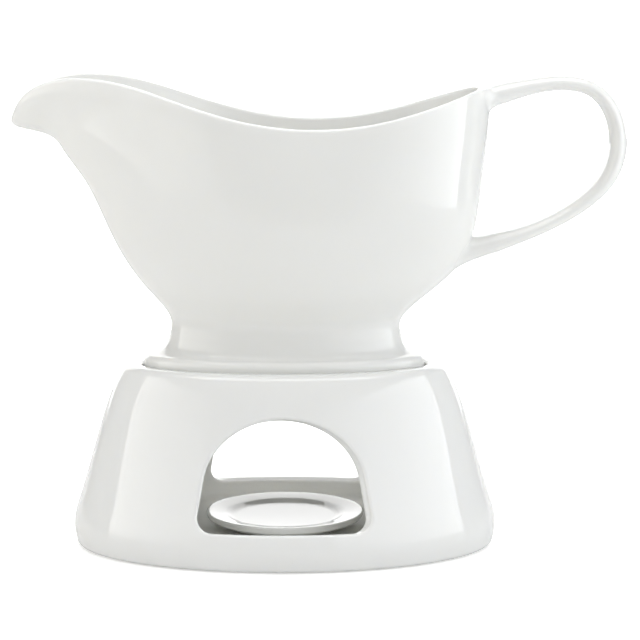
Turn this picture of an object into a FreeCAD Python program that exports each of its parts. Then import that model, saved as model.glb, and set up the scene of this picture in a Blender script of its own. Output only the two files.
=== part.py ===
import FreeCAD, Part
import math
import os

import Sketcher

# Gravy boat on its tea-light warming stand, glazed porcelain.
# Millimetres.  Origin: centre of the stand's oval foot, on the table.
# +X runs toward the handle, -X toward the spout, +Z up.

V = FreeCAD.Vector

# Every driving size, by the word it is known under in the sheet.
SIZES = {
    # warming stand: half length of the oval at seven heights
    "stand_height": 73.6,
    "foot_half_length": 84.0,
    "skirt_height": 8.0,
    "skirt_half_length": 85.4,
    "flank_height": 20.0,
    "flank_half_length": 82.8,
    "side_height": 40.0,
    "side_half_length": 76.9,
    "shoulder_height": 58.0,
    "shoulder_half_length": 71.4,
    "brow_height": 68.0,
    "brow_half_length": 67.3,
    "crown_half_length": 64.2,
    "oval_difference": 30.6,
    "oval_difference_gain": 2.4,
    "stand_wall": 4.5,
    "stand_floor": 6.0,
    "crown_rounding": 2.4,
    "base_rounding": 1.8,
    # seat for the boat and the heat opening below it
    "seat_height": 68.6,
    "seat_half_length": 57.6,
    "seat_half_depth": 26.0,
    "deck_thickness": 4.4,
    "deck_overcut": 1.0,
    "heat_half_length": 46.0,
    "heat_half_depth": 15.5,
    # arched windows, front and back
    "sill_height": 15.2,
    "window_half_width": 34.0,
    "window_corner": 5.6,
    "arch_half_width": 31.8,
    "arch_rise": 26.9,
    "arch_centre": 31.0,
    "window_rounding": 1.2,
    # tea-light dish
    "dish_radius": 32.2,
    "dish_rise": 6.8,
    "dish_foot_radius": 22.0,
    "dish_heel_run": 1.2,
    "dish_heel_rise": 1.0,
    "dish_edge_lean": 0.7,
    "dish_edge_height": 2.5,
    "dish_lip": 1.6,
    "dish_lip_rounding": 0.48,
    "dish_shelf_radius": 24.4,
    "dish_shelf_height": 5.9,
    "dish_well_radius": 21.2,
    "dish_floor": 4.3,
    # boat foot
    "flange_half_length": 56.5,
    "flange_half_depth": 24.9,
    "flange_thickness": 9.6,
    "flange_rounding": 3.0,
    "flange_heel": 1.2,
    "foot_wall": 4.6,
    "hollow_height": 22.0,
    "hollow_taper": 8.0,
    "hollow_side_taper": 5.0,
    "hollow_roof_inset": 3.0,
    "hollow_roof_side_inset": 2.2,
    # boat wall
    "boat_wall": 3.0,
    "floor_height": 27.4,
    "floor_half_length": 39.0,
    "floor_half_depth": 11.5,
}

# Boat levels from the joint with the foot up to the rim: height above the
# boat's own foot, reach toward the spout along the middle, the same reach
# beside the spout, reach toward the handle, half depth.
LEVELS = (
    ("neck", 9.6, 49.0, 49.0, 49.6, 21.0),
    ("taper", 15.8, 46.3, 46.3, 47.2, 19.0),
    ("waist", 21.9, 45.5, 45.5, 46.6, 18.4),
    ("flare", 27.2, 47.9, 47.9, 50.4, 21.8),
    ("bowl", 34.4, 54.1, 54.1, 58.9, 28.0),
    ("belly", 45.4, 62.6, 62.6, 70.2, 33.2),
    ("chest", 61.4, 71.0, 71.6, 76.6, 36.4),
    ("upper", 79.4, 79.8, 82.6, 79.2, 38.1),
    ("throat", 91.4, 88.2, 94.0, 81.0, 38.6),
    ("spout", 98.1, 97.6, 102.4, 81.6, 38.6),
    ("lip", 100.1, 106.0, 105.3, 81.6, 38.6),
    ("rim", 102.2, 108.3, 108.3, 81.2, 38.6),
)
LEVEL_WORDS = ("height", "spout_reach", "cheek_reach", "handle_reach", "half_depth")
LINING_FROM = 3      # the first level that the inner wall follows
SPOUT_SHARPNESS = 4  # how closely the spout keeps to the middle plane
SADDLE_POWER = 5     # how late the rim's rise and fall appears up the wall
LEAF_POWER = 2       # how late the rim's outline takes over from the oval

# The rim itself, every fifteen degrees from the handle end to the spout tip:
# height above the boat's foot and half depth from the middle plane.
RIM_STEP = 15
RIM_HEIGHT = (115.3, 114.4, 111.3, 106.5, 101.8, 100.0, 102.6,
              109.1, 116.3, 118.8, 116.0, 108.8, 102.2)
RIM_DEPTH = (0.0, 13.5, 25.0, 33.0, 36.8, 38.2, 38.6,
             35.4, 28.4, 22.2, 15.4, 7.6, 0.0)

# Handle stations along its loop, from the rim down to the lower root:
# distance from the middle of the boat, height above the boat's foot,
# half thickness in the plane of the loop, half width across it.
LOOP = (
    ("rim_root", 73.0, 110.9, 5.8, 9.6),
    ("rise", 86.0, 113.3, 4.3, 8.0),
    ("crest_in", 99.0, 116.4, 3.4, 7.0),
    ("crest", 112.0, 117.5, 3.1, 6.6),
    ("turn_in", 122.9, 114.7, 3.2, 6.5),
    ("turn", 130.2, 106.2, 3.4, 6.5),
    ("grip", 132.9, 93.9, 3.6, 6.5),
    ("grip_low", 129.6, 80.9, 3.5, 6.5),
    ("sweep", 119.4, 69.9, 3.2, 6.6),
    ("sweep_low", 104.0, 60.9, 3.1, 6.8),
    ("tail", 90.5, 55.8, 3.6, 7.5),
    ("tail_root", 80.4, 52.7, 4.7, 8.6),
    ("wall_root", 72.6, 52.2, 7.9, 10.4),
    ("buried_root", 63.0, 53.4, 9.0, 10.0),
)
LOOP_WORDS = ("reach", "height", "half_thickness", "half_width")
STRAP_STEP = 30      # degrees between points round a handle section

# Dome that closes the bowl while the handle is trimmed to it: how much the
# rim is drawn in, how far it is raised, and its peak's half length, half
# depth, height above the boat's foot and shift toward the spout.
DOME_SHARE = 0.6
DOME_RISE = 12
DOME_PEAK = (4, 2, 122, -13)
INSIDE_HEIGHT = 110  # height of a point well inside the bowl
FLOOR_SHIFT = 1.0    # the inner floor sits this far toward the handle


def open_sheet(doc):
    sheet = doc.addObject("Spreadsheet::Sheet", "Sizes")
    cells = list(SIZES.items())
    for row in LEVELS:
        cells += [(row[0] + "_" + word, value) for word, value in zip(LEVEL_WORDS, row[1:])]
    for number, (height, depth) in enumerate(zip(RIM_HEIGHT, RIM_DEPTH)):
        cells.append(("rim_height_at_%d" % (number * RIM_STEP), height))
        cells.append(("rim_depth_at_%d" % (number * RIM_STEP), depth))
    for row in LOOP:
        cells += [("loop_%s_%s" % (row[0], word), value)
                  for word, value in zip(LOOP_WORDS, row[1:])]
    for number, (name, value) in enumerate(cells, start=1):
        sheet.set("A%d" % number, name)
        sheet.set("B%d" % number, str(value))
        sheet.setAlias("B%d" % number, name)
    doc.recompute()
    return sheet


# ------------------------------------------------------------ sketch helpers

def origin_plane(body, role):
    return next(part for part in body.Origin.OriginFeatures if part.Role == role)


def plane_sketch(body, name, role, height=None):
    sketch = body.newObject("Sketcher::SketchObject", name)
    sketch.AttachmentSupport = (origin_plane(body, role), [""])
    sketch.MapMode = "FlatFace"
    if height:
        sketch.setExpression("AttachmentOffset.Base.z", height)
    return sketch


def oval_sketch(body, name, height, half_length, half_depth):
    """Ellipse about the origin, its two half axes driven by the sheet."""
    sketch = plane_sketch(body, name, "XY_Plane", height)
    sketch.addGeometry(Part.Ellipse(V(60, 0, 0), V(0, 30, 0), V(0, 0, 0)), False)
    sketch.exposeInternalGeometry(0)
    # exposed lines: 1 is the long axis, 2 the short axis
    sketch.addConstraint(Sketcher.Constraint("Coincident", 0, 3, -1, 1))
    sketch.addConstraint(Sketcher.Constraint("Parallel", 1, -1))
    long_axis = sketch.addConstraint(Sketcher.Constraint("Distance", 1, 120))
    short_axis = sketch.addConstraint(Sketcher.Constraint("Distance", 2, 60))
    sketch.setExpression("Constraints[%d]" % long_axis, "2 * (%s)" % half_length)
    sketch.setExpression("Constraints[%d]" % short_axis, "2 * (%s)" % half_depth)
    return sketch


def loft(body, kind, name, sketches):
    feature = body.newObject("PartDesign::" + kind, name)
    feature.Profile = (sketches[0], [""])
    feature.Sections = [(sketch, [""]) for sketch in sketches[1:]]
    feature.Ruled = False
    return feature


def edges_where(shape, test):
    return ["Edge%d" % number for number, edge in enumerate(shape.Edges, start=1)
            if test(edge.BoundBox)]


def round_edges(body, name, base, edges, radius):
    fillet = body.newObject("PartDesign::Fillet", name)
    fillet.Base = (base, edges)
    fillet.setExpression("Radius", radius)
    return fillet


# ------------------------------------------------------------- warming stand

def stand_levels(body, name, levels, inset):
    """Oval sketches at each (height, half length), drawn in by inset."""
    narrowing = "Sizes.oval_difference + Sizes.oval_difference_gain * (%s) / Sizes.stand_height"
    return [oval_sketch(body, "%s%d" % (name, number), height,
                        "%s - %s" % (length, inset),
                        "%s - (%s) - %s" % (length, narrowing % height, inset))
            for number, (height, length) in enumerate(levels)]


def window_sketch(body):
    """Arched window outline on the plane through the long axis."""
    sketch = plane_sketch(body, "WindowOutline", "XZ_Plane")
    half = SIZES["window_half_width"]
    sill = SIZES["sill_height"]
    corner = SIZES["window_corner"]
    width = SIZES["arch_half_width"]
    rise = SIZES["arch_rise"]
    centre = SIZES["arch_centre"]
    hub_x = half - corner
    hub_z = sill + corner
    lean = math.atan2(half - width, centre - hub_z)
    spring = math.atan(rise / width * math.tan(lean))
    side = V(width * math.cos(spring), centre + rise * math.sin(spring), 0)
    low = V(hub_x + corner * math.cos(lean), hub_z + corner * math.sin(lean), 0)
    mirror = FreeCAD.Matrix(-1, 0, 0, 0, 0, 1, 0, 0, 0, 0, 1, 0, 0, 0, 0, 1)
    up = V(0, 0, 1)
    crown = Part.Ellipse(V(width, centre, 0), V(0, centre + rise, 0), V(0, centre, 0))
    sketch.addGeometry([
        Part.ArcOfEllipse(crown, spring, math.pi - spring),
        Part.LineSegment(side, low),
        Part.ArcOfCircle(Part.Circle(V(hub_x, hub_z, 0), up, corner), -math.pi / 2, lean),
        Part.LineSegment(V(hub_x, sill, 0), V(-hub_x, sill, 0)),
        Part.ArcOfCircle(Part.Circle(V(-hub_x, hub_z, 0), up, corner),
                         math.pi - lean, 1.5 * math.pi),
        Part.LineSegment(mirror.multVec(low), mirror.multVec(side)),
    ], False)
    sketch.exposeInternalGeometry(0)
    # exposed lines: 6 is the long axis of the arch, 7 the short axis
    link = Sketcher.Constraint
    sketch.addConstraint([
        link("Tangent", 0, 1, 1, 1),
        link("Tangent", 1, 2, 2, 2),
        link("Tangent", 2, 1, 3, 1),
        link("Tangent", 3, 2, 4, 2),
        link("Tangent", 4, 1, 5, 1),
        link("Tangent", 5, 2, 0, 2),
        link("PointOnObject", 0, 3, -2),
        link("Parallel", 6, -1),
        link("Symmetric", 3, 1, 3, 2, -2),
        link("Equal", 2, 4),
    ])
    for value, constraint in (
            ("2 * Sizes.arch_half_width", link("Distance", 6, 2 * width)),
            ("2 * Sizes.arch_rise", link("Distance", 7, 2 * rise)),
            ("Sizes.arch_centre", link("DistanceY", -1, 1, 0, 3, centre)),
            ("Sizes.window_corner", link("Radius", 2, corner)),
            ("Sizes.sill_height", link("DistanceY", -1, 1, 3, 1, sill)),
            ("2 * (Sizes.window_half_width - Sizes.window_corner)",
             link("DistanceX", 3, 2, 3, 1, 2 * hub_x))):
        index = sketch.addConstraint(constraint)
        sketch.setExpression("Constraints[%d]" % index, value)
    return sketch


def pocket(body, name, sketch, depth=None):
    """Cut a sketch away: through everything both ways, or down to a depth."""
    feature = body.newObject("PartDesign::Pocket", name)
    feature.Profile = sketch
    if depth is None:
        feature.Type = "ThroughAll"
        feature.Midplane = True
    else:
        feature.setExpression("Length", depth)
    return feature


def warming_stand(doc):
    body = doc.addObject("PartDesign::Body", "WarmingStand")
    body.Label = "warming_stand"
    middle = [("Sizes.%s_height" % word, "Sizes.%s_half_length" % word)
              for word in ("flank", "side", "shoulder")]
    outside = [("0", "Sizes.foot_half_length"),
               ("Sizes.skirt_height", "Sizes.skirt_half_length")]
    outside += middle
    outside += [("Sizes.brow_height", "Sizes.brow_half_length"),
                ("Sizes.stand_height", "Sizes.crown_half_length")]
    inside = [("Sizes.stand_floor", "Sizes.skirt_half_length")]
    inside += middle
    inside += [("Sizes.seat_height - Sizes.deck_thickness",
                "(Sizes.shoulder_half_length + Sizes.brow_half_length) / 2")]
    shell = loft(body, "AdditiveLoft", "Skirt", stand_levels(body, "Out", outside[::-1], "0"))
    doc.recompute()
    crown = edges_where(shell.Shape, lambda box: box.ZMin > SIZES["stand_height"] - 0.5)
    top = round_edges(body, "CrownRounding", shell, crown, "Sizes.crown_rounding")
    doc.recompute()
    heel = edges_where(top.Shape, lambda box: box.ZMax < 0.5)
    round_edges(body, "BaseRounding", top, heel, "Sizes.base_rounding")
    loft(body, "SubtractiveLoft", "Chamber",
         stand_levels(body, "In", inside, "Sizes.stand_wall"))
    seat = oval_sketch(body, "SeatOutline", "Sizes.stand_height",
                       "Sizes.seat_half_length", "Sizes.seat_half_depth")
    pocket(body, "Seat", seat, "Sizes.stand_height - Sizes.seat_height")
    heat = oval_sketch(body, "HeatOutline", "Sizes.seat_height",
                       "Sizes.heat_half_length", "Sizes.heat_half_depth")
    pocket(body, "HeatOpening", heat, "Sizes.deck_thickness + Sizes.deck_overcut")
    windows = pocket(body, "Windows", window_sketch(body))
    doc.recompute()
    low = SIZES["sill_height"] - 0.5
    high = SIZES["arch_centre"] + SIZES["arch_rise"] + 0.5
    half = SIZES["window_half_width"] + 1
    frames = edges_where(windows.Shape, lambda box: low < box.ZMin and box.ZMax < high
                         and -half < box.XMin and box.XMax < half)
    round_edges(body, "WindowRounding", windows, frames, "Sizes.window_rounding")
    return body


# ------------------------------------------------------------ tea-light dish

def sheet_value(words):
    """Value of a sum or difference of sheet words, as the sketch starts out."""
    total = 0.0
    sign = 1
    for word in words.split():
        if word in "+-":
            sign = 1 if word == "+" else -1
        elif word != "0":
            total += sign * SIZES[word.replace("Sizes.", "")]
    return total


def drive_point(sketch, kind, number, words, value):
    """Tie one coordinate of a corner to the sheet, unless it lies on an axis."""
    if words != "0":
        index = sketch.addConstraint(Sketcher.Constraint(kind, -1, 1, number, 1, value))
        sketch.setExpression("Constraints[%d]" % index, words)


def tealight_dish(doc):
    body = doc.addObject("PartDesign::Body", "TealightDish")
    body.Label = "tealight_dish"
    sketch = plane_sketch(body, "DishProfile", "XZ_Plane")
    corners = (
        ("0", "0"),
        ("Sizes.dish_foot_radius", "0"),
        ("Sizes.dish_foot_radius + Sizes.dish_heel_run", "Sizes.dish_heel_rise"),
        ("Sizes.dish_radius - Sizes.dish_edge_lean", "Sizes.dish_rise - Sizes.dish_edge_height"),
        ("Sizes.dish_radius", "Sizes.dish_rise"),
        ("Sizes.dish_radius - Sizes.dish_lip", "Sizes.dish_rise"),
        ("Sizes.dish_shelf_radius", "Sizes.dish_shelf_height"),
        ("Sizes.dish_well_radius", "Sizes.dish_floor"),
        ("0", "Sizes.dish_floor"),
    )
    outline = [V(sheet_value(across), sheet_value(up), 0) for across, up in corners]
    count = len(outline)
    for number in range(count):
        ends = outline[number], outline[(number + 1) % count]
        sketch.addGeometry(Part.LineSegment(*ends), False)
    for number in range(count):
        sketch.addConstraint(
            Sketcher.Constraint("Coincident", number, 2, (number + 1) % count, 1))
    sketch.addConstraint(Sketcher.Constraint("Coincident", 0, 1, -1, 1))
    sketch.addConstraint(Sketcher.Constraint("PointOnObject", count - 1, 1, -2))
    sketch.addConstraint(Sketcher.Constraint("PointOnObject", 1, 1, -1))
    for number, (across, up) in enumerate(corners):
        drive_point(sketch, "DistanceX", number, across, outline[number].x)
        drive_point(sketch, "DistanceY", number, up, outline[number].y)
    turned = body.newObject("PartDesign::Revolution", "Saucer")
    turned.Profile = sketch
    turned.ReferenceAxis = (sketch, ["V_Axis"])
    turned.Angle = 360
    doc.recompute()
    rim_edges = edges_where(turned.Shape, lambda box: box.ZMin > SIZES["dish_rise"] - 0.2)
    round_edges(body, "LipRounding", turned, rim_edges, "Sizes.dish_lip_rounding")
    body.setExpression("Placement.Base.z", "Sizes.stand_floor")
    return body


# ------------------------------------------------------------ freeform skins

def ring_curve(points):
    """Smooth closed curve through evenly numbered points."""
    count = len(points)
    curve = Part.BSplineCurve()
    curve.interpolate(Points=points, PeriodicFlag=True,
                      Parameters=[number / count for number in range(count + 1)])
    return curve


def skin(rings):
    """Smooth surface through a stack of closed rings of equal point count."""
    curves = [ring_curve(ring) for ring in rings]
    gaps = [sum(a.distanceToPoint(b) for a, b in zip(low, high)) / len(low)
            for low, high in zip(rings, rings[1:])]
    whole = sum(gaps)
    steps = [sum(gaps[:number]) / whole for number in range(len(rings))]
    steps[-1] = 1.0
    threads = []
    for pole in range(curves[0].NbPoles):
        thread = Part.BSplineCurve()
        thread.interpolate(Points=[curve.getPole(pole + 1) for curve in curves],
                           Parameters=steps)
        threads.append(thread)
    surface = Part.BSplineSurface()
    surface.buildFromPolesMultsKnots(
        [thread.getPoles() for thread in threads],
        curves[0].getMultiplicities(), threads[0].getMultiplicities(),
        curves[0].getKnots(), threads[0].getKnots(),
        True, False, 3, threads[0].Degree)
    return surface


def cap(ring):
    return Part.Face(Part.Wire(ring_curve(ring).toShape()))


def closed_solid(faces):
    shell = Part.makeShell(faces)
    shell.sewShape()
    solid = Part.makeSolid(shell.Shells[0])
    if solid.Volume < 0:
        solid.reverse()
    return solid


# ---------------------------------------------------------------- gravy boat

def boat_ring(sheet, level):
    """Points round one level of the boat, from the handle end over the back."""
    height = sheet.get(level + "_height")
    spout = sheet.get(level + "_spout_reach")
    cheek = sheet.get(level + "_cheek_reach")
    handle = sheet.get(level + "_handle_reach")
    depth = sheet.get(level + "_half_depth")
    climb = (height - sheet.neck_height) / (sheet.rim_height - sheet.neck_height)
    saddle = climb ** SADDLE_POWER
    taper = climb ** LEAF_POWER
    points = []
    for degrees in range(0, 360, RIM_STEP):
        turn = math.radians(degrees)
        mirror = min(degrees, 360 - degrees)
        back = cheek + (spout - cheek) * max(0.0, -math.cos(turn)) ** SPOUT_SHARPNESS
        reach = (handle - back) / 2 + (handle + back) / 2 * math.cos(turn)
        leaf = sheet.get("rim_depth_at_%d" % mirror) / sheet.rim_half_depth
        across = (1 - taper) * abs(math.sin(turn)) + taper * leaf
        lift = sheet.get("rim_height_at_%d" % mirror) - sheet.rim_height
        side = math.copysign(1, math.sin(turn))
        points.append(V(reach, side * depth * across, height + saddle * lift))
    return points


def inner_ring(surface, points, wall):
    """The same ring moved one wall thickness inward, square to the surface."""
    moved = []
    for point in points:
        normal = surface.normal(*surface.parameter(point))
        if normal.dot(point - V(0, 0, INSIDE_HEIGHT)) < 0:
            normal = -normal
        moved.append(point - normal * wall)
    return moved


def oval_ring(half_length, half_depth, height, shift=0.0):
    turns = [math.radians(degrees) for degrees in range(0, 360, RIM_STEP)]
    return [V(shift + half_length * math.cos(turn), half_depth * math.sin(turn), height)
            for turn in turns]


def rim_roll(outer, inner, wall):
    """Half-round lip carried from the outer edge of the rim to the inner."""
    rings = []
    for degrees in (0, 45, 90, 135, 180):
        turn = math.radians(degrees)
        rise = V(0, 0, wall / 2 * math.sin(turn))
        share = (1 + math.cos(turn)) / 2
        rings.append([a * share + b * (1 - share) + rise for a, b in zip(outer, inner)])
    return rings


def boat_outside(sheet):
    rings = [boat_ring(sheet, row[0]) for row in LEVELS]
    return rings, skin(rings)


def bowl_block(sheet):
    """The bowl filled solid and domed over, used to trim what meets it."""
    rings, surface = boat_outside(sheet)
    inner = inner_ring(surface, rings[-1], sheet.boat_wall)
    lip = skin(rim_roll(rings[-1], inner, sheet.boat_wall))
    peak = oval_ring(*DOME_PEAK)
    raised = [V(p.x * DOME_SHARE, p.y * DOME_SHARE, p.z + DOME_RISE) for p in inner]
    dome = skin([inner, raised, peak])
    return closed_solid([surface.toShape(), cap(rings[0]), lip.toShape(),
                         dome.toShape(), cap(peak)])


def bowl(sheet):
    rings, surface = boat_outside(sheet)
    wall = sheet.boat_wall
    lining = [inner_ring(surface, ring, wall) for ring in rings[LINING_FROM:]]
    floor = oval_ring(sheet.floor_half_length, sheet.floor_half_depth,
                      sheet.floor_height, FLOOR_SHIFT)
    inside = skin([floor] + lining)
    lip = skin(rim_roll(rings[-1], lining[-1], wall))
    return closed_solid([surface.toShape(), lip.toShape(), inside.toShape(),
                         cap(floor), cap(rings[0])])


def boat_foot(sheet):
    """Oval flange standing in the seat, rounded above and eased below."""
    edge = Part.Ellipse(V(0, 0, 0), sheet.flange_half_length, sheet.flange_half_depth)
    block = Part.Face(Part.Wire(edge.toShape())).extrude(V(0, 0, sheet.flange_thickness))
    upper = [e for e in block.Edges if e.BoundBox.ZMin > sheet.flange_thickness - 0.1]
    lower = [e for e in block.Edges if e.BoundBox.ZMax < 0.1]
    block = block.makeFillet(sheet.flange_rounding, upper)
    lower = [e for e in block.Edges if e.BoundBox.ZMax < 0.1]
    return block.makeFillet(sheet.flange_heel, lower)


def foot_hollow(sheet):
    half_length = sheet.flange_half_length - sheet.foot_wall
    half_depth = sheet.flange_half_depth - sheet.foot_wall
    mouth = oval_ring(half_length, half_depth, 0)
    half_length -= sheet.hollow_taper
    half_depth -= sheet.hollow_side_taper
    middle = oval_ring(half_length, half_depth, sheet.flange_thickness)
    roof = oval_ring(half_length - sheet.hollow_roof_inset,
                     half_depth - sheet.hollow_roof_side_inset, sheet.hollow_height)
    return closed_solid([skin([mouth, middle, roof]).toShape(), cap(mouth), cap(roof)])


def boat_body(doc, sheet):
    part = doc.addObject("Part::Feature", "BoatBody")
    part.Label = "boat_body"
    joined = bowl(sheet).fuse(boat_foot(sheet)).cut(foot_hollow(sheet))
    part.Shape = joined.Solids[0]
    part.Placement.Base = V(0, 0, sheet.seat_height)
    return part


def boat_handle(doc, sheet):
    names = ["loop_" + row[0] for row in LOOP]
    spine = [V(sheet.get(name + "_reach"), 0, sheet.get(name + "_height")) for name in names]
    rings = []
    for number, name in enumerate(names):
        ahead = spine[min(number + 1, len(spine) - 1)]
        behind = spine[max(number - 1, 0)]
        along = (ahead - behind).normalize()
        out = V(along.z, 0, -along.x)
        thick = sheet.get(name + "_half_thickness")
        wide = sheet.get(name + "_half_width")
        turns = [math.radians(degrees) for degrees in range(0, 360, STRAP_STEP)]
        rings.append([spine[number] + out * (thick * math.cos(turn))
                      + V(0, wide * math.sin(turn), 0) for turn in turns])
    strap = closed_solid([skin(rings).toShape(), cap(rings[0]), cap(rings[-1])])
    part = doc.addObject("Part::Feature", "BoatHandle")
    part.Label = "boat_handle"
    outside = strap.cut(bowl_block(sheet))
    part.Shape = max(outside.Solids, key=lambda solid: solid.Volume)
    part.Placement.Base = V(0, 0, sheet.seat_height)
    return part


def main():
    doc = FreeCAD.newDocument("GravyBoat")
    sheet = open_sheet(doc)
    parts = [warming_stand(doc), tealight_dish(doc),
             boat_body(doc, sheet), boat_handle(doc, sheet)]
    doc.recompute()
    for thing in doc.Objects:
        if "Invalid" in thing.State or "Error" in thing.State:
            raise RuntimeError("%s did not build: %s" % (thing.Name, thing.State))
    os.makedirs("parts", exist_ok=True)
    for part in parts:
        shape = part.Shape
        if shape.isNull() or not shape.isValid() or len(shape.Solids) != 1:
            raise RuntimeError("%s is not one sound solid" % part.Label)
        shape.exportStep("parts/%s.step" % part.Label)
        box = shape.BoundBox
        print("%-14s x %.1f..%.1f  y %.1f..%.1f  z %.1f..%.1f  volume %.0f" % (
            part.Label, box.XMin, box.XMax, box.YMin, box.YMax, box.ZMin, box.ZMax,
            shape.Volume))


main()
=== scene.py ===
import math

import bmesh
import bpy
import numpy as np
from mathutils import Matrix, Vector
from mathutils.bvhtree import BVHTree


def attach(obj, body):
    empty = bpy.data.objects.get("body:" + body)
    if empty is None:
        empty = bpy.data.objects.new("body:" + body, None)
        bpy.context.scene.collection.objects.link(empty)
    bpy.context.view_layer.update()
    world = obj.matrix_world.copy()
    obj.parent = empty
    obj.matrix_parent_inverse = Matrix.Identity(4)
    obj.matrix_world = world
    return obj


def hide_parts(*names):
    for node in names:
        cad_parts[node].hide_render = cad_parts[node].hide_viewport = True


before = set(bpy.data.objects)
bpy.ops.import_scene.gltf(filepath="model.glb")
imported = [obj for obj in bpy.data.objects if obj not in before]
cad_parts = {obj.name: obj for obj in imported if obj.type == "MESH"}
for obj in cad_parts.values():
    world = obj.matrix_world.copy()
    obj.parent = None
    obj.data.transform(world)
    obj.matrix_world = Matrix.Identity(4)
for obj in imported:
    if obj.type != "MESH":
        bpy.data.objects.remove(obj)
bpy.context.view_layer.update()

# Gravy boat on its tea-light warming stand, white glazed porcelain.
# The shapes are worked out in millimetres and turned into metres as they are
# built.  +X runs toward the handle, -X toward the spout, the front faces -Y.

MM = 0.001

# ------------------------------------------------------------------- sizes

SEAT = 68.6          # height at which the boat's foot rests in the stand
BOAT_WALL = 3.0
RIM_WALL = 2.3       # the wall thins toward the rim
AROUND_BOAT = 192
BOAT_ROWS = 96       # rings of the outer wall
LINING_ROWS = 80

# Boat levels: height above the boat's foot, reach toward the spout, the same
# beside the spout, reach toward the handle, half depth.
LEVELS = (
    (9.6, 49.0, 49.0, 49.6, 21.0), (15.8, 46.3, 46.3, 47.2, 19.0),
    (21.9, 45.5, 45.5, 46.6, 18.4), (27.2, 47.9, 47.9, 50.4, 21.8),
    (34.4, 54.1, 54.1, 58.9, 28.0), (45.4, 62.6, 62.6, 70.2, 33.2),
    (61.4, 71.0, 71.6, 76.6, 36.4), (79.4, 79.8, 82.6, 79.2, 38.1),
    (91.4, 88.2, 94.0, 81.0, 38.6), (98.1, 97.6, 102.4, 81.6, 38.6),
    (100.1, 106.0, 105.3, 81.6, 38.6), (102.2, 108.3, 108.3, 81.2, 38.6),
)
FLARE = 3            # the first level that the lining follows
NECK_JOIN = 6        # the ring of the outer wall that the foot sweeps up into
SPOUT_SHARPNESS = 4  # how narrow the spout is, seen from above
LEAF_POWER = 2       # how late, going up, the levels take on the rim's leaf shape
SADDLE_POWER = 5     # how late they take on the rim's rise and fall

# The rim every fifteen degrees, from the handle end to the spout tip: height
# above the boat's foot and half depth.
RIM_HEIGHT = (115.3, 114.4, 111.3, 106.5, 101.8, 100.0, 102.6,
              109.1, 116.3, 118.8, 116.0, 108.8, 102.2)
RIM_DEPTH = (0.0, 13.5, 25.0, 33.0, 36.8, 38.2, 38.6,
             35.4, 28.4, 22.2, 15.4, 7.6, 0.0)

RIM_RISE = 1.35      # height of the rounded lip above the rim line
LIP_STEPS = 12       # steps over the rounded lip
LID_STEPS = 8        # how many of them lie under the lid of the outer block

# Floor of the bowl: half length, half depth, height above the boat's foot.
BOWL_FLOOR = ((2.0, 0.6, 26.6), (20.0, 5.8, 26.7), (39.0, 11.5, 27.4))
BOWL_FLOOR_SHIFT = 1.0

# Boat foot, half length and half depth of each oval: the flange, and the hollow
# under it at its roof, at the end of the roof's rounding, beside the flange's
# top and at its mouth.
FLANGE = (56.5, 24.9)
FLANGE_TOP = 9.6
FLANGE_HEEL = 1.4
NECK_FOOT = (48.0, 19.7)     # the corner that the sweep up to the neck rounds
NECK_FOOT_SHIFT = 0.3
HOLLOW_ROOF = 22.0
ROOF_OVALS = ((4.0, 1.5), (30.0, 8.0), (37.6, 10.6))
ROOF_CORNER = (40.6, 12.8)
ROOF_END = (41.1, 13.1)
ROOF_DROP = 3.0
HOLLOW_WAIST = (43.6, 15.0)
HOLLOW_MOUTH = (51.6, 20.0)

# Handle stations from the rim round to the lower root: reach, height above
# the boat's foot, half thickness, half width.
LOOP = (
    (86.0, 113.3, 4.3, 8.0), (99.0, 116.4, 3.4, 7.0), (112.0, 117.5, 3.1, 6.6),
    (122.9, 114.7, 3.2, 6.5), (130.2, 106.2, 3.4, 6.5), (132.9, 93.9, 3.6, 6.5),
    (129.6, 80.9, 3.5, 6.5), (119.4, 69.9, 3.2, 6.6), (104.0, 60.9, 3.1, 6.8),
    (90.5, 55.8, 3.6, 7.5), (84.0, 53.9, 4.2, 8.0),
)

STRAP_ROWS = 120
STRAP_AROUND = 64
ROOT_STEPS = 16
ROOT_BACK_OFF = 4.0  # how far back the lines that find the root's outline start
ROOT_SINK = 0.25     # how far the root's outline goes into the bowl's wall

# Stand outline: height, half length.
STAND = ((0.0, 84.0), (8.0, 85.4), (20.0, 82.8), (40.0, 76.9),
         (58.0, 71.4), (68.0, 67.3), (73.6, 64.2))
STAND_NARROWER = 30.6        # the half depth is this much less than the half length
TOP_NARROWER = 2.4           # and this much less again at the top
STAND_WALL = 4.5
STAND_FLOOR = 6.0
STAND_TOP = 73.6
DECK_UNDER = 64.2
FLOOR_START = (0.955, 0.93)  # where the rounding into the floor ends, as a share

# Ovals of the stand, half length and half depth.
SOLE = (82.4, 51.6)
SOLE_CORNER = (84.3, 53.6)
BROW_CORNER = (64.4, 31.4)
BROW_LAND = (61.8, 29.2)
SEAT_OVAL = (57.6, 26.0)
HEAT_OVAL = (46.0, 15.5)

# Roundings of the stand's edges.
SOLE_ROUND = 2.0
BROW_ROUND = 2.6
SEAT_LIP = 1.5
SEAT_CORNER = 0.7
HEAT_ROUND = 1.2

# Arched window, the same front and back.
SILL = 15.2
WINDOW_HALF = 34.0
WINDOW_CORNER = 5.6
ARCH = (31.8, 26.9, 31.0)    # half width, rise, height of its middle
EDGE_ROUND = 1.3
WINDOW_SLANT = 1.4           # the front window's inner edge sits this far to -X
WINDOW_MIDDLE = 34.0
PATCH = math.radians(40)     # half the angle that a window panel covers
PANEL = (9.0, 60.5)          # lowest and highest row of a window panel
PANEL_ACROSS, PANEL_UP, END_ACROSS = 48, 40, 60
PANEL_STEPS = 13             # rings from a panel's window out to its border
PANEL_GATHER = 1.4           # how much closer together they are near the window

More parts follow.
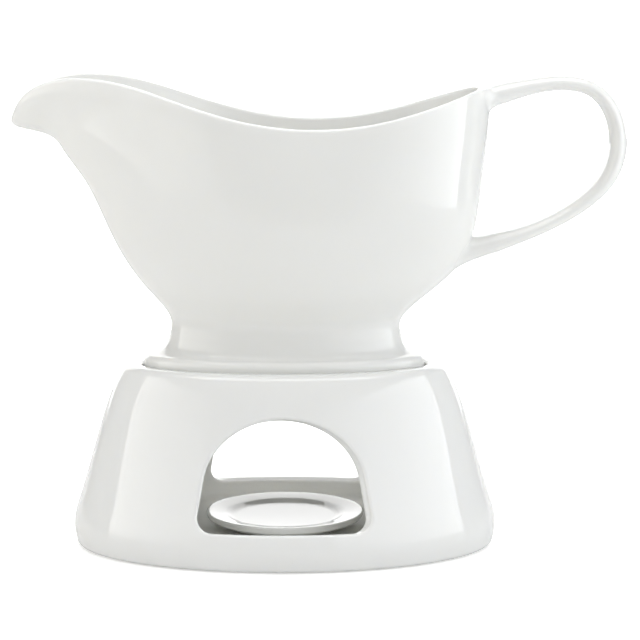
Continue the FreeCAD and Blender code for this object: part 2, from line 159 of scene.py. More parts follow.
# Dish outline: radius, height above the stand's floor, rounding of the corner.
DISH = (
    (3.0, 0.9, 0), (17.0, 0.9, 0), (18.4, 0.7, 0.3), (18.9, 0.0, 0.3),
    (22.0, 0.0, 0.7), (23.2, 1.0, 1.0), (31.5, 4.3, 0.8), (32.2, 6.8, 0.8),
    (30.6, 6.8, 0.8), (24.4, 5.9, 0.9), (21.2, 4.4, 1.2), (3.0, 4.3, 0),
)
DISH_AROUND = 160


# ------------------------------------------------------- curves and surfaces

def spline(knots, rows, at):
    """Natural cubic curve through rows of values, read at new places."""
    knots, rows, at = (np.asarray(v, dtype=float) for v in (knots, rows, at))
    gap = np.diff(knots)
    count = len(knots)
    left = np.eye(count)
    right = np.zeros_like(rows)
    for n in range(1, count - 1):
        left[n, n - 1:n + 2] = gap[n - 1], 2 * (gap[n - 1] + gap[n]), gap[n]
        slopes = (rows[n + 1] - rows[n]) / gap[n] - (rows[n] - rows[n - 1]) / gap[n - 1]
        right[n] = 6 * slopes
    bend = np.linalg.solve(left, right.reshape(count, -1)).reshape(rows.shape)
    cell = np.clip(np.searchsorted(knots, at) - 1, 0, count - 2)
    wide = (-1,) + (1,) * (rows.ndim - 1)
    h = gap[cell].reshape(wide)
    a = ((knots[cell + 1] - at) / gap[cell]).reshape(wide)
    b = 1 - a
    cubic = ((a ** 3 - a) * bend[cell] + (b ** 3 - b) * bend[cell + 1]) * h ** 2 / 6
    return a * rows[cell] + b * rows[cell + 1] + cubic


def closed_spline(ring, count):
    """Smooth closed curve through evenly numbered points, read evenly."""
    points = np.concatenate([ring, ring, ring, ring[:1]])
    size = len(ring)
    return spline(np.arange(len(points)), points, size + np.arange(count) * size / count)


def stack_knots(rings):
    """Place of each ring in a stack, by the mean distance between rings."""
    gaps = np.linalg.norm(np.diff(rings, axis=0), axis=2).mean(axis=1)
    return np.concatenate([[0.0], np.cumsum(gaps)])


def bend(start, corner, end, steps):
    """Rings that sweep from start to end, rounding the corner between them."""
    rings = []
    for t in np.linspace(0, 1, steps + 1)[1:]:
        rings.append((1 - t) ** 2 * start + 2 * t * (1 - t) * corner + t ** 2 * end)
    return rings


def arc_bend(start, corner, end, steps):
    """The same along a near-circular arc, for edges that catch the light."""
    rings = []
    weight = math.sqrt(0.5)
    for t in np.linspace(0, 1, steps + 1)[1:]:
        parts = (1 - t) ** 2, 2 * weight * t * (1 - t), t ** 2
        total = sum(parts)
        rings.append((parts[0] * start + parts[1] * corner + parts[2] * end) / total)
    return rings


def surface_normals(grid):
    """Unit normals of a grid of rings, pointing away from the middle axis."""
    around = np.roll(grid, -1, axis=1) - np.roll(grid, 1, axis=1)
    upward = np.gradient(grid, axis=0)
    normal = np.cross(around, upward)
    normal /= np.linalg.norm(normal, axis=2, keepdims=True)
    outward = (normal[..., :2] * grid[..., :2]).sum(axis=2)
    return normal * np.sign(outward.mean())


def full_turn(count):
    """Even angles once round."""
    return np.radians(np.arange(count) * 360 / count)


def oval(angles, half_length, half_depth, height, shift=0.0):
    """Level ring with its two half axes along X and Y."""
    return np.stack([shift + half_length * np.cos(angles), half_depth * np.sin(angles),
                     np.full(len(angles), float(height))], axis=1)


# ------------------------------------------------------------- mesh building

def add_rings(bm, rings):
    """Quads between neighbouring closed rings; gives back the vertex rows."""
    rows = [[bm.verts.new(Vector(point) * MM) for point in ring] for ring in rings]
    for low, high in zip(rows, rows[1:]):
        for n in range(len(low)):
            after = (n + 1) % len(low)
            bm.faces.new((low[n], low[after], high[after], high[n]))
    return rows


def close_row(bm, row):
    """Fan of triangles over the hole inside a ring."""
    middle = sum((vert.co for vert in row), Vector()) / len(row)
    hub = bm.verts.new(middle)
    for n in range(len(row)):
        bm.faces.new((row[n], row[(n + 1) % len(row)], hub))


def mark_bare(mesh, how_bare):
    """Note on each point how far the clay there is left without glaze."""
    spots = np.empty(len(mesh.vertices) * 3)
    mesh.vertices.foreach_get("co", spots)
    bare = np.clip(how_bare(spots.reshape(-1, 3) / MM), 0.0, 1.0)
    mesh.attributes.new("bare", "FLOAT", "POINT").data.foreach_set("value", bare)


def finish_piece(bm, name, material, body, node, how_bare):
    """Turn a mesh in the making into a piece that stands for a CAD node."""
    bmesh.ops.remove_doubles(bm, verts=bm.verts, dist=1e-6)
    bmesh.ops.recalc_face_normals(bm, faces=bm.faces)
    mesh = bpy.data.meshes.new(name)
    bm.to_mesh(mesh)
    bm.free()
    mesh.polygons.foreach_set("use_smooth", [True] * len(mesh.polygons))
    mark_bare(mesh, how_bare)
    piece = bpy.data.objects.new(name, mesh)
    bpy.context.scene.collection.objects.link(piece)
    mesh.materials.append(material)
    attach(piece, body)
    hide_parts(node)


# ---------------------------------------------------------------- gravy boat

def boat_net():
    """The boat's control rings, one per level, a point every fifteen degrees."""
    low, high = LEVELS[0][0], LEVELS[-1][0]
    rings = []
    for height, spout, cheek, handle, depth in LEVELS:
        climb = (height - low) / (high - low)
        ring = []
        for degrees in range(0, 360, 15):
            turn = math.radians(degrees)
            place = min(degrees, 360 - degrees) // 15
            back = cheek + (spout - cheek) * max(0.0, -math.cos(turn)) ** SPOUT_SHARPNESS
            reach = (handle - back) / 2 + (handle + back) / 2 * math.cos(turn)
            leaf = RIM_DEPTH[place] / LEVELS[-1][4]
            share = climb ** LEAF_POWER
            across = (1 - share) * abs(math.sin(turn)) + share * leaf
            lift = climb ** SADDLE_POWER * (RIM_HEIGHT[place] - high)
            side = math.copysign(1, math.sin(turn))
            ring.append((reach, side * depth * across, SEAT + height + lift))
        rings.append(closed_spline(np.array(ring), AROUND_BOAT))
    return np.array(rings)


def fine_stack(rings, rows):
    """The smooth wall through a stack of rings, as more rings evenly spaced."""
    knots = stack_knots(rings)
    return spline(knots, rings, np.linspace(0, knots[-1], rows))


def boat_lining(net, outside):
    """Inner wall, one wall thickness in, down to the rounded floor."""
    knots = stack_knots(net)
    normals = surface_normals(outside)
    steps = np.linspace(0, knots[-1], len(outside))
    angles = full_turn(AROUND_BOAT)
    rings = [oval(angles, length, depth, SEAT + height, BOWL_FLOOR_SHIFT)
             for length, depth, height in BOWL_FLOOR]
    for level in range(FLARE, len(net)):
        nearest = int(np.argmin(abs(steps - knots[level])))
        share = (level - FLARE) / (len(net) - 1 - FLARE)
        wall = BOAT_WALL + (RIM_WALL - BOAT_WALL) * share ** 2
        rings.append(net[level] - normals[nearest] * wall)
    return fine_stack(np.array(rings), LINING_ROWS)


def grown(pair, extra):
    """An oval's two half axes, both made longer."""
    return pair[0] + extra, pair[1] + extra


def foot_hollow(angles):
    """Rings from the roof of the hollow under the foot down to its mouth."""
    roof = SEAT + HOLLOW_ROOF
    rings = [oval(angles, *half_axes, roof) for half_axes in ROOF_OVALS]
    rings += arc_bend(rings[-1], oval(angles, *ROOF_CORNER, roof),
                      oval(angles, *ROOF_END, roof - ROOF_DROP), 6)
    rings.append(oval(angles, *HOLLOW_WAIST, SEAT + FLANGE_TOP))
    mouth = oval(angles, *grown(HOLLOW_MOUTH, -0.6), SEAT + 1.0)
    rings.append(mouth)
    rings += arc_bend(mouth, oval(angles, *HOLLOW_MOUTH, SEAT),
                      oval(angles, *grown(HOLLOW_MOUTH, 1.0), SEAT), 4)
    return rings


def foot_flange(angles, neck):
    """Rings from the sole out round the flange and up into the neck."""
    top = SEAT + FLANGE_TOP
    heel = oval(angles, *grown(FLANGE, -FLANGE_HEEL), SEAT)
    rings = [heel]
    rings += arc_bend(heel, oval(angles, *FLANGE, SEAT),
                      oval(angles, *FLANGE, SEAT + FLANGE_HEEL), 5)
    side = oval(angles, *FLANGE, top - 3.4)
    rings.append(side)
    ledge = oval(angles, *grown(FLANGE, -2.6), top - 0.5)
    rings += arc_bend(side, oval(angles, *FLANGE, top - 0.7), ledge, 8)
    corner = oval(angles, *NECK_FOOT, top + 0.7, NECK_FOOT_SHIFT)
    rings += bend(ledge, corner, neck, 14)
    return rings


def rim_roll(outer, inner):
    """Half-round lip from the outer edge of the rim over to the inner."""
    rings = []
    for turn in np.linspace(0, math.pi, LIP_STEPS + 1)[1:-1]:
        share = (1 + math.cos(turn)) / 2
        ring = outer * share + inner * (1 - share)
        ring[:, 2] += RIM_RISE * math.sin(turn)
        rings.append(ring)
    return rings


def outer_block(outside, lip):
    """The boat's outer wall with a lid on its lip, to find points on."""
    block = bmesh.new()
    shell = add_rings(block, list(outside) + lip[:LID_STEPS])
    close_row(block, shell[-1])
    tree = BVHTree.FromBMesh(block)
    block.free()
    return tree


def make_boat_body(material):
    """Make the bowl with its foot; gives back what the handle is joined to."""
    net = boat_net()
    outside = fine_stack(net, BOAT_ROWS)
    lining = boat_lining(net, outside)
    lip = rim_roll(outside[-1], lining[-1])
    angles = full_turn(AROUND_BOAT)
    rings = foot_hollow(angles) + foot_flange(angles, outside[NECK_JOIN])
    rings += list(outside[NECK_JOIN + 1:]) + lip + list(lining[::-1])
    bm = bmesh.new()
    rows = add_rings(bm, rings)
    close_row(bm, rows[0])
    close_row(bm, rows[-1])
    finish_piece(bm, "boat_bowl", material, "boat", "boat_body",
                 lambda spot: (SEAT + 0.6 - spot[:, 2]) * 2)
    return outer_block(outside, lip)


# -------------------------------------------------------------------- handle

def strap_rings():
    """Oval sections square to the loop, from the rim end to the lower end."""
    stations = np.array(LOOP)
    spine = stations[:, :2]
    knots = np.concatenate([[0], np.cumsum(np.linalg.norm(np.diff(spine, axis=0), axis=1))])
    values = spline(knots, stations, np.linspace(0, knots[-1], STRAP_ROWS))
    along = np.gradient(values[:, :2], axis=0)
    along /= np.linalg.norm(along, axis=1, keepdims=True)
    turns = full_turn(STRAP_AROUND)
    rings = []
    for (x, z, thick, wide), (dx, dz) in zip(values, along):
        edge = thick * np.cos(turns)
        rings.append(np.stack([x + dz * edge, wide * np.sin(turns),
                               SEAT + z - dx * edge], axis=1))
    return np.array(rings)


def wall_points(tree, points, along, reach, near):
    """Where lines from the points along a direction meet the bowl's wall; a line
    that misses it takes the wall's nearest point to a place on the line."""
    found = []
    ahead = Vector(along.tolist())
    for point in points:
        start = Vector(point.tolist()) * MM
        hit = tree.ray_cast(start, ahead, reach * MM)[0]
        if hit is None:
            hit = tree.find_nearest(start + ahead * near * MM)[0]
        found.append(tuple(hit))
    return np.array(found) / MM


def root_rings(rings, tree, reach, near, half_height, half_width, drop):
    """Rings that carry a strap end in a soft fillet onto the bowl's wall.
    Reach and near are as in wall_points; the fillet ends on an outline of the
    given half height and half width, drop lower than the strap's middle."""
    last = rings[0]
    middle = last.mean(axis=0)
    along = middle - rings[1].mean(axis=0)
    along /= np.linalg.norm(along)
    square = np.array([along[2], 0.0, -along[0]])
    side = last - middle
    high = side @ square
    spread = middle + np.outer(high * half_height / abs(high).max(), square)
    spread[:, 1] = side[:, 1] * half_width / abs(side[:, 1]).max()
    spread[:, 2] -= drop
    corner = wall_points(tree, last, along, reach, near)
    back_off = along * ROOT_BACK_OFF
    foot = wall_points(tree, spread - back_off, along, reach + ROOT_BACK_OFF,
                       near + ROOT_BACK_OFF)
    return bend(last, corner, foot, ROOT_STEPS) + [foot + along * ROOT_SINK]


def make_handle(material, tree):
    """Make the strap with a root at each end, joined to the bowl's wall."""
    rings = strap_rings()
    upper = root_rings(rings, tree, reach=6.5, near=5.2,
                       half_height=7.5, half_width=15.0, drop=0.0)
    lower = root_rings(rings[::-1], tree, reach=40.0, near=12.0,
                       half_height=6.6, half_width=11.0, drop=0.8)
    bm = bmesh.new()
    add_rings(bm, upper[::-1] + list(rings) + lower)
    finish_piece(bm, "boat_loop_handle", material, "boat",
                 "boat_handle", lambda spot: 0 * spot[:, 2])


# ------------------------------------------------------------- warming stand

def stand_half_axes(height):
    """Half length and half depth of the stand's outline at a height."""
    height = np.atleast_1d(np.asarray(height, dtype=float))
    levels = np.array(STAND)
    length = spline(levels[:, 0], levels[:, 1], height)
    return length, length - STAND_NARROWER - TOP_NARROWER * height / STAND_TOP


def on_stand(angle, height):
    """Points of the outer wall for angles round the oval and heights."""
    angle, height = np.atleast_1d(angle), np.atleast_1d(height)
    length, depth = stand_half_axes(height)
    return np.stack([length * np.cos(angle), depth * np.sin(angle),
                     height + 0 * angle], axis=-1)


def stand_normals(angle, height):
    """Unit normals of the outer wall at the same places."""
    step = 1e-3
    around = on_stand(angle + step, height) - on_stand(angle - step, height)
    upward = on_stand(angle, height + step) - on_stand(angle, height - step)
    normal = np.cross(around, upward)
    return normal / np.linalg.norm(normal, axis=-1, keepdims=True)


def stand_angles():
    """Angles of the columns all the way round, window panels first and third."""
    front = np.linspace(-math.pi / 2 - PATCH, -math.pi / 2 + PATCH, PANEL_ACROSS + 1)[:-1]
    right = np.linspace(-math.pi / 2 + PATCH, math.pi / 2 - PATCH, END_ACROSS + 1)[:-1]
    return np.concatenate([front, right, front + math.pi, right + math.pi])


def window_reach():
    """Distance of the window's outline from its middle, by direction."""
    half, rise, centre = ARCH
    hub = np.array([WINDOW_HALF - WINDOW_CORNER, SILL + WINDOW_CORNER])
    lean = math.atan2(WINDOW_HALF - half, centre - hub[1])
    spring = math.atan(rise / half * math.tan(lean))
    arch = [(half * math.cos(t), centre + rise * math.sin(t))
            for t in np.linspace(spring, math.pi / 2, 120)]
    corner = [tuple(hub + WINDOW_CORNER * np.array([math.cos(t), math.sin(t)]))
              for t in np.linspace(-math.pi / 2, lean, 40)]
    sill = [(x, SILL) for x in np.linspace(0.0, hub[0], 40)[:-1]]
    flank = [tuple(np.array(corner[-1]) * (1 - s) + np.array(arch[0]) * s)
             for s in np.linspace(0, 1, 12)[1:-1]]
    side = np.array(sill + corner + flank + arch)
    middle = np.array([0.0, WINDOW_MIDDLE])
    away = side - middle
    return np.arctan2(away[:, 1], away[:, 0]), np.linalg.norm(away, axis=1)


def window_outline(border):
    """Point of the window's edge on the line from its middle to each border point."""
    bearing, reach = window_reach()
    away = border - np.array([0.0, WINDOW_MIDDLE])
    direction = np.arctan2(away[:, 1], abs(away[:, 0]))
    length = np.interp(direction, bearing, reach)
    return np.stack([np.sign(away[:, 0]) * length * np.cos(direction),
                     WINDOW_MIDDLE + length * np.sin(direction)], axis=1)


def panel_border():
    """Angle and height of the panel's rectangular border, once round."""
    across = np.linspace(-PATCH, PATCH, PANEL_ACROSS + 1) - math.pi / 2
    up = np.linspace(*PANEL, PANEL_UP + 1)
    low = [(a, PANEL[0]) for a in across[:-1]]
    right = [(across[-1], z) for z in up[:-1]]
    high = [(a, PANEL[1]) for a in across[:0:-1]]
    left = [(across[0], z) for z in up[:0:-1]]
    return np.array(low + right + high + left)


def on_front(across, height):
    """Angle round the oval and height of points on the front, from their X."""
    length = stand_half_axes(height)[0]
    return np.stack([-np.arccos(across / length), height], axis=1)


def panel_rings():
    """The front window panel: outer face, rounded reveal, inner face."""
    border = panel_border()
    flat = on_stand(border[:, 0], border[:, 1])[:, [0, 2]]
    outline = window_outline(flat)
    edge = on_front(outline[:, 0], outline[:, 1])
    slanted = on_front(outline[:, 0] - WINDOW_SLANT, outline[:, 1])
    rim, normal = on_stand(*edge.T), stand_normals(*edge.T)
    rim_in, normal_in = on_stand(*slanted.T), stand_normals(*slanted.T)
    tangent = np.roll(rim, -1, axis=0) - np.roll(rim, 1, axis=0)
    away = np.cross(tangent, normal)
    away /= np.linalg.norm(away, axis=1, keepdims=True)
    centre = np.array([0.0, rim[:, 1].min(), WINDOW_MIDDLE])
    away *= np.sign((away * (rim - centre)).sum(axis=1).mean())
    beside = rim + away * EDGE_ROUND
    start = on_front(beside[:, 0], beside[:, 2])
    outer, inner = [], []
    for share in np.linspace(0, 1, PANEL_STEPS) ** PANEL_GATHER:
        place = start * (1 - share) + border * share
        outer.append(on_stand(*place.T))
        place = place + (slanted - edge) * (1 - share)
        inner.append(on_stand(*place.T) - stand_normals(*place.T) * STAND_WALL)
    reveal_top = rim - normal * EDGE_ROUND
    reveal_low = rim_in - normal_in * (STAND_WALL - EDGE_ROUND)
    rings = outer[::-1]
    rings += arc_bend(outer[0], rim, reveal_top, 7)
    rings += [reveal_top * (1 - s) + reveal_low * s for s in (0.25, 0.5, 0.75, 1.0)]
    rings += arc_bend(reveal_low, rim_in - normal_in * STAND_WALL, inner[0], 7)
    rings += inner[1:]
    return np.array(rings)


def stand_rows(angles, heights, inset=0.0):
    """Rings of the wall at some heights, inset from its outer face."""
    rows = []
    for height in heights:
        full = np.full(len(angles), float(height))
        rows.append(on_stand(angles, full) - stand_normals(angles, full) * inset)
    return rows


def add_end(bm, inset):
    """The plain wall between the two window panels, at either end."""
    up = np.linspace(*PANEL, PANEL_UP + 1)
    turn = np.linspace(-math.pi / 2 + PATCH, math.pi / 2 - PATCH, END_ACROSS + 1)
    for side in (0.0, math.pi):
        rows = stand_rows(turn + side, up, inset)
        verts = [[bm.verts.new(Vector(point) * MM) for point in row] for row in rows]
        for low, high in zip(verts, verts[1:]):
            for n in range(END_ACROSS):
                bm.faces.new((low[n], low[n + 1], high[n + 1], high[n]))


def stand_base(angles):
    """Rings from the middle of the underside out and up to the panels."""
    outline = stand_rows(angles, [0.0])[0]
    rings = [outline * s for s in (0.1, 0.4, 0.7, 0.9)]
    sole = oval(angles, *SOLE, 0.0)
    rings.append(sole)
    low = stand_rows(angles, [SOLE_ROUND])[0]
    rings += arc_bend(sole, oval(angles, *SOLE_CORNER, 0.0), low, 7)
    rings += stand_rows(angles, np.linspace(SOLE_ROUND, PANEL[0], 7)[1:])
    return rings


def stand_seat(angles):
    """Rings from the lip of the seat down its wall to the edge of its ledge."""
    lip = oval(angles, SEAT_OVAL[0] + SEAT_LIP, SEAT_OVAL[1] + 0.8 * SEAT_LIP, STAND_TOP)
    rings = [lip]
    rings += arc_bend(lip, oval(angles, *SEAT_OVAL, STAND_TOP),
                      oval(angles, *SEAT_OVAL, STAND_TOP - SEAT_LIP), 6)
    wall = oval(angles, *SEAT_OVAL, SEAT + SEAT_CORNER)
    rings.append(wall)
    rings += arc_bend(wall, oval(angles, *SEAT_OVAL, SEAT),
                      oval(angles, *grown(SEAT_OVAL, -SEAT_CORNER), SEAT), 4)
    return rings


def heat_opening(angles):
    """Rings from the ledge down through the heat opening to the deck's underside."""
    brink = oval(angles, *grown(HEAT_OVAL, HEAT_ROUND), SEAT)
    rings = [brink]
    rings += arc_bend(brink, oval(angles, *HEAT_OVAL, SEAT),
                      oval(angles, *HEAT_OVAL, SEAT - HEAT_ROUND), 5)
    below = oval(angles, *HEAT_OVAL, DECK_UNDER + HEAT_ROUND)
    rings.append(below)
    rings += arc_bend(below, oval(angles, *HEAT_OVAL, DECK_UNDER),
                      oval(angles, *grown(HEAT_OVAL, HEAT_ROUND), DECK_UNDER), 5)
    return rings


def stand_crown(angles):
    """Rings from the top of the panels over the seat and back to their inside."""
    rings = stand_rows(angles, np.linspace(PANEL[1], STAND_TOP - BROW_ROUND, 9))
    rings += arc_bend(rings[-1], oval(angles, *BROW_CORNER, STAND_TOP),
                      oval(angles, *BROW_LAND, STAND_TOP), 9)
    rings += stand_seat(angles) + heat_opening(angles)
    top_inside = stand_rows(angles, [PANEL[1]], STAND_WALL)[0]
    corner = top_inside.copy()
    corner[:, 2] = DECK_UNDER
    across = corner - rings[-1]
    ceiling = rings[-1] + across * 0.8
    rings += [rings[-1] + across * 0.4, ceiling]
    rings += arc_bend(ceiling, corner, top_inside, 7)
    return rings


def stand_inner_floor(angles):
    """Rings from the foot of the panels' inner face to the middle of the floor."""
    wall = stand_rows(angles, [PANEL[0]], STAND_WALL)[0]
    corner = stand_rows(angles, [STAND_FLOOR], STAND_WALL)[0]
    corner[:, 2] = STAND_FLOOR
    start = corner * np.array([*FLOOR_START, 1.0])
    rings = [wall] + arc_bend(wall, corner, start, 7)
    rings += [start * np.array([s, s, 1.0]) for s in (0.75, 0.5, 0.25, 0.08)]
    return rings


def stand_bare(spot):
    """The foot's sole and the inside of the chamber are left without glaze."""
    length, depth = stand_half_axes(spot[:, 2])
    inset = STAND_WALL - EDGE_ROUND
    around = np.hypot(spot[:, 0] / (length - inset), spot[:, 1] / (depth - inset))
    chamber = (1.0 - around) * 40 * (spot[:, 2] > 1.0) * (spot[:, 2] < SEAT - 1.0)
    return np.maximum(chamber, (0.5 - spot[:, 2]) * 2)


def make_stand(material):
    """Make the stand; its back panel is the front one turned half round."""
    angles = stand_angles()
    bm = bmesh.new()
    base = add_rings(bm, stand_base(angles))
    close_row(bm, base[0])
    add_rings(bm, stand_crown(angles))
    floor = add_rings(bm, stand_inner_floor(angles))
    close_row(bm, floor[-1])
    panel = panel_rings()
    add_rings(bm, panel)
    add_rings(bm, panel * np.array([-1.0, -1.0, 1.0]))
    add_end(bm, 0.0)
    add_end(bm, STAND_WALL)
    finish_piece(bm, "oval_warming_stand", material, "stand",
                 "warming_stand", stand_bare)


# ------------------------------------------------------------ tea-light dish

def rounded_profile(corners, steps=6):
    """Outline through (radius, height, rounding) corners, each one rounded."""
    points = []
    for n, (x, z, size) in enumerate(corners):
        here = np.array([x, z])
        if size == 0:
            points.append(here)
            continue
        before = np.array(corners[n - 1][:2]) - here
        after = np.array(corners[n + 1][:2]) - here
        start = here + before / np.linalg.norm(before) * size
        end = here + after / np.linalg.norm(after) * size
        points.append(start)
        points += arc_bend(start, here, end, steps)
    return points


def make_dish(material):
    """Make the dish: its outline turned about the upright axis."""
    angles = full_turn(DISH_AROUND)
    rings = [oval(angles, radius, radius, STAND_FLOOR + height)
             for radius, height in rounded_profile(DISH)]
    bm = bmesh.new()
    rows = add_rings(bm, rings)
    close_row(bm, rows[0])
    close_row(bm, rows[-1])
    finish_piece(bm, "tealight_saucer", material, "dish",
                 "tealight_dish", lambda spot: (STAND_FLOOR + 0.4 - spot[:, 2]) * 3)


# ----------------------------------------------------------------- materials

GLAZE_WARM, GLAZE_COOL = (0.85, 0.85, 0.825), (0.875, 0.88, 0.872)
CLAY_DARK, CLAY_LIGHT = (0.95, 0.955, 0.91), (0.97, 0.97, 0.93)
SPECK = (0.42, 0.36, 0.28)
GLAZE_IOR = 1.58
LIGHT_REACH = (1.0, 0.95, 0.85)   # how far red, green and blue go into the clay
THIN_CLAY = (0.003, 0.3)     # metres that light goes in, share that comes out elsewhere
THICK_CLAY = (0.012, 0.45)


def node(tree, kind, links=(), **values):
    """New shader node; values are its settings, or else its inputs by name."""
    made = tree.nodes.new(kind)
    for name, value in values.items():
        if hasattr(made, name):
            setattr(made, name, value)
        else:
            made.inputs[name.replace("_", " ")].default_value = value
    for source, socket in links:
        tree.links.new(source, made.inputs[socket])
    return made


def ramp(tree, source, low, high, start, end):
    """A value read from low to high, turned into one from start to end."""
    made = node(tree, "ShaderNodeMapRange", [(source, "Value")], From_Min=low,
                From_Max=high, To_Min=start, To_Max=end)
    return made.outputs[0]


def blend(tree, share, low, high):
    """Mix of two colours, either given or coming from another node."""
    made = node(tree, "ShaderNodeMix", [(share, 0)], data_type="RGBA")
    for socket, colour in ((6, low), (7, high)):
        if isinstance(colour, tuple):
            made.inputs[socket].default_value = (*colour, 1)
        else:
            tree.links.new(colour, made.inputs[socket])
    return made.outputs[2]


def either(tree, share, low, high):
    """Mix of two numbers that come from other nodes."""
    made = node(tree, "ShaderNodeMix", [(share, 0), (low, 2), (high, 3)])
    return made.outputs[0]


def glaze(name, offset, depth, share):
    """Clear glaze over white porcelain, bare clay where a piece isn't glazed.
    Light goes depth metres into it, and share of it comes out elsewhere; the
    offset gives each piece its own part of the pattern."""
    material = bpy.data.materials.new(name)
    material.use_nodes = True
    tree = material.node_tree
    shader = tree.nodes["Principled BSDF"]
    place = node(tree, "ShaderNodeTexCoord").outputs["Object"]
    shifted = node(tree, "ShaderNodeVectorMath", [(place, 0)], operation="ADD")
    shifted.inputs[1].default_value = offset
    here = shifted.outputs[0]
    bare = node(tree, "ShaderNodeAttribute", attribute_name="bare").outputs["Fac"]
    cloud = node(tree, "ShaderNodeTexNoise", [(here, "Vector")], Scale=14.0, Detail=3.0)
    grain = node(tree, "ShaderNodeTexNoise", [(here, "Vector")], Scale=900.0, Detail=3.0)
    # iron specks in the clay, a fifth of a millimetre across and few
    cells = node(tree, "ShaderNodeTexVoronoi", [(here, "Vector")], Scale=160.0)
    speck = ramp(tree, cells.outputs["Distance"], 0.010, 0.022, 0.35, 0.0)
    body = blend(tree, cloud.outputs[0], GLAZE_WARM, GLAZE_COOL)
    body = blend(tree, speck, body, SPECK)
    clay = blend(tree, grain.outputs[0], CLAY_DARK, CLAY_LIGHT)
    tree.links.new(blend(tree, bare, body, clay), shader.inputs["Base Color"])
    film = node(tree, "ShaderNodeTexNoise", [(here, "Vector")], Scale=60.0, Detail=4.0)
    wet = ramp(tree, film.outputs[0], 0.3, 0.7, 0.02, 0.06)
    dry = ramp(tree, grain.outputs[0], 0.3, 0.7, 0.5, 0.75)
    tree.links.new(either(tree, bare, wet, dry), shader.inputs["Roughness"])
    swell = node(tree, "ShaderNodeTexNoise", [(here, "Vector")], Scale=35.0, Detail=1.0)
    waves = node(tree, "ShaderNodeBump", [(swell.outputs[0], "Height")],
                 Strength=0.05, Distance=0.001)
    tooth = node(tree, "ShaderNodeBump", [(grain.outputs[0], "Height"), (bare, "Strength"),
                                          (waves.outputs[0], "Normal")], Distance=0.0001)
    tree.links.new(tooth.outputs[0], shader.inputs["Normal"])
    shader.inputs["IOR"].default_value = GLAZE_IOR
    shader.inputs["Subsurface Weight"].default_value = share
    shader.inputs["Subsurface Radius"].default_value = LIGHT_REACH
    shader.inputs["Subsurface Scale"].default_value = depth
    return material


def white_ground(name, albedo, glow):
    """Matt white paper with light coming through it from below."""
    material = bpy.data.materials.new(name)
    material.use_nodes = True
    shader = material.node_tree.nodes["Principled BSDF"]
    shader.inputs["Base Color"].default_value = (albedo, albedo, albedo, 1)
    shader.inputs["Roughness"].default_value = 0.6
    shader.inputs["Specular IOR Level"].default_value = 0.2
    shader.inputs["Emission Color"].default_value = (1.0, 1.0, 1.0, 1)
    shader.inputs["Emission Strength"].default_value = glow
    return material


def dim_floor_glow_as_painted_shade(tree):
    """Let the paper glow less near the object, so that contact shadows show; the dimmer
    glow there is itself painted shade round the object's base.
    """
    place = node(tree, "ShaderNodeTexCoord").outputs["Object"]
    away = node(tree, "ShaderNodeVectorMath", [(place, 0)], operation="LENGTH")
    glow = ramp(tree, away.outputs["Value"], *FLOOR_GLOW)
    tree.links.new(glow, tree.nodes["Principled BSDF"].inputs["Emission Strength"])


def glowing_cloth(name, colour, near, far, half_width):
    """Diffuser of a soft box, brighter toward one end."""
    material = bpy.data.materials.new(name)
    material.use_nodes = True
    tree = material.node_tree
    tree.nodes.clear()
    place = node(tree, "ShaderNodeTexCoord").outputs["Object"]
    across = node(tree, "ShaderNodeSeparateXYZ", [(place, 0)])
    strength = ramp(tree, across.outputs[0], -half_width, half_width, near, far)
    light = node(tree, "ShaderNodeEmission", [(strength, "Strength")])
    light.inputs[0].default_value = (*colour, 1)
    node(tree, "ShaderNodeOutputMaterial", [(light.outputs[0], 0)])
    return material


# ------------------------------------------------------------- stage, lights

TABLE = ((-0.34, -0.41), (0.28, -0.41), (0.53, 0.0), (0.9, 2.5), (-0.9, 2.5), (-0.46, 0.0))
TABLE_HEIGHT = -0.0006
FLOOR_HEIGHT = -0.0003
FLOOR_RADIUS = 30
# the weaker glow near the object is painted shade round its base
FLOOR_GLOW = (0.10, 0.45, 0.42, 1.0)     # from and to this far out, from and to this strong
SKY_STRENGTH = 0.31

# Upright soft boxes: bearing round the object, 0 in front and 90 on the right,
# distance, lowest and highest edge, width, strength at the end nearer the front
# and at the other, colour.
SOFT_BOXES = (
    ("box_left", -58, 0.95, -0.45, 0.80, 0.97, (0.7, 2.85), (1.0, 0.99, 0.95)),
    ("box_right", 52, 0.95, -0.45, 0.80, 1.4, (0.38, 3.25), (0.97, 0.99, 1.0)),
    ("backdrop", 180, 2.6, 0.0, 2.4, 4.5, (1.6, 1.6), (1.0, 1.0, 1.0)),
    ("backdrop_shine", 180, 2.5, 0.0, 2.4, 4.5, (2.6, 2.6), (1.0, 1.0, 1.0)),
)
SHINE_ONLY = "backdrop_shine"        # seen in reflections, lights nothing

TOP_BOX = (1.8, 1.6)
TOP_BOX_HEIGHT = 1.9
TOP_BOX_STRENGTH = 2.7

LENS, SENSOR = 130.63, 36.0
CAMERA_AT = (0.00825, -0.92374, 0.23379)
CAMERA_TOWARD = (0.01429, 0.0, 0.0909)


def stage_mesh(name, outline, material):
    """Flat stage piece from its corners."""
    bm = bmesh.new()
    bm.faces.new([bm.verts.new(corner) for corner in outline])
    mesh = bpy.data.meshes.new(name)
    bm.to_mesh(mesh)
    bm.free()
    mesh.materials.append(material)
    piece = bpy.data.objects.new(name, mesh)
    bpy.context.scene.collection.objects.link(piece)
    return piece


def make_stage():
    """White table that lights the object, and a white floor for the camera."""
    top = stage_mesh("table_top", [(x, y, TABLE_HEIGHT) for x, y in TABLE],
                     white_ground("table_paper", 0.74, 0.07))
    top.visible_camera = False
    ring = oval(full_turn(64), FLOOR_RADIUS, FLOOR_RADIUS, FLOOR_HEIGHT)
    paper = white_ground("floor_paper", 0.8, 1.0)
    # painted shade: the floor's glow is lowered near the object, darkening the floor round
    # its base
    dim_floor_glow_as_painted_shade(paper.node_tree)
    floor = stage_mesh("studio_floor", ring, paper)
    floor.visible_diffuse = False
    floor.visible_glossy = False
    floor.visible_shadow = False


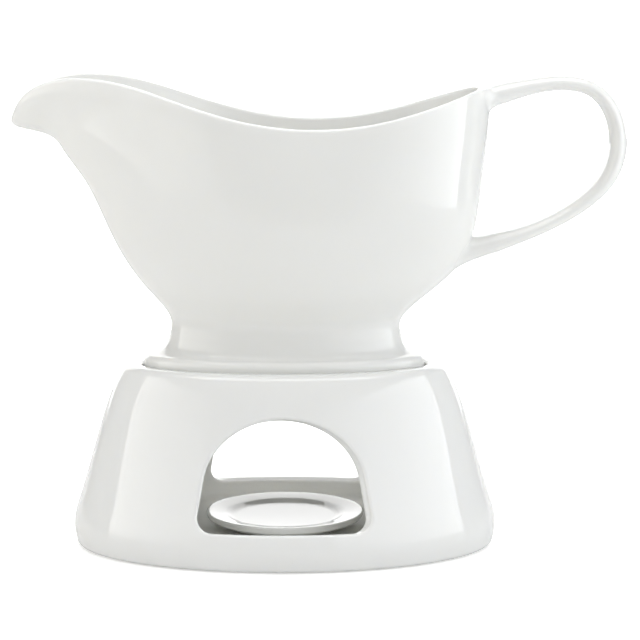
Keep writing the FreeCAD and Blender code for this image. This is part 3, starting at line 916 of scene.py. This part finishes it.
def soft_panel(name, bearing, distance, low, high, width, glow, colour):
    """One upright soft box, from a row of the table above."""
    half = width / 2
    outline = [(-half, 0, low), (half, 0, low), (half, 0, high), (-half, 0, high)]
    ends = glow if bearing > 0 else glow[::-1]
    panel = stage_mesh(name, outline, glowing_cloth(name + "_cloth", colour, *ends, half))
    turn = math.radians(bearing)
    panel.location = (distance * math.sin(turn), -distance * math.cos(turn), 0)
    panel.rotation_euler = (0, 0, turn)
    panel.visible_camera = False
    return panel


def make_lights():
    """Dim even sky, the soft boxes, and one more box overhead."""
    world = bpy.data.worlds.new("studio")
    bpy.context.scene.world = world
    world.use_nodes = True
    sky = world.node_tree.nodes["Background"]
    sky.inputs[0].default_value = (1.0, 1.0, 1.0, 1)
    sky.inputs[1].default_value = SKY_STRENGTH
    for row in SOFT_BOXES:
        panel = soft_panel(*row)
        panel.visible_diffuse = panel.name != SHINE_ONLY
    data = bpy.data.lights.new("box_top", "AREA")
    data.shape = "RECTANGLE"
    data.size, data.size_y = TOP_BOX
    data.energy = math.pi * data.size * data.size_y * TOP_BOX_STRENGTH
    lamp = bpy.data.objects.new("box_top", data)
    lamp.location = (0, 0, TOP_BOX_HEIGHT)
    bpy.context.scene.collection.objects.link(lamp)


def make_camera():
    """Camera a little above the rim, looking at the front."""
    data = bpy.data.cameras.new("camera")
    data.sensor_width = SENSOR
    data.lens = LENS
    data.clip_start, data.clip_end = 0.05, 20.0
    camera = bpy.data.objects.new("camera", data)
    camera.location = CAMERA_AT
    toward = Vector(CAMERA_TOWARD) - camera.location
    camera.rotation_euler = toward.to_track_quat("-Z", "Y").to_euler()
    bpy.context.scene.collection.objects.link(camera)
    bpy.context.scene.camera = camera


def main():
    bpy.context.scene.view_settings.view_transform = "Standard"
    make_camera()
    make_stage()
    make_lights()
    wall = make_boat_body(glaze("boat_porcelain", (0.0, 0.0, 0.0), *THIN_CLAY))
    make_handle(glaze("handle_porcelain", (0.0, 0.0, 0.0), *THIN_CLAY), wall)
    make_stand(glaze("stand_porcelain", (0.3, 0.1, 0.2), *THICK_CLAY))
    make_dish(glaze("dish_porcelain", (0.5, 0.4, 0.1), *THICK_CLAY))


main()
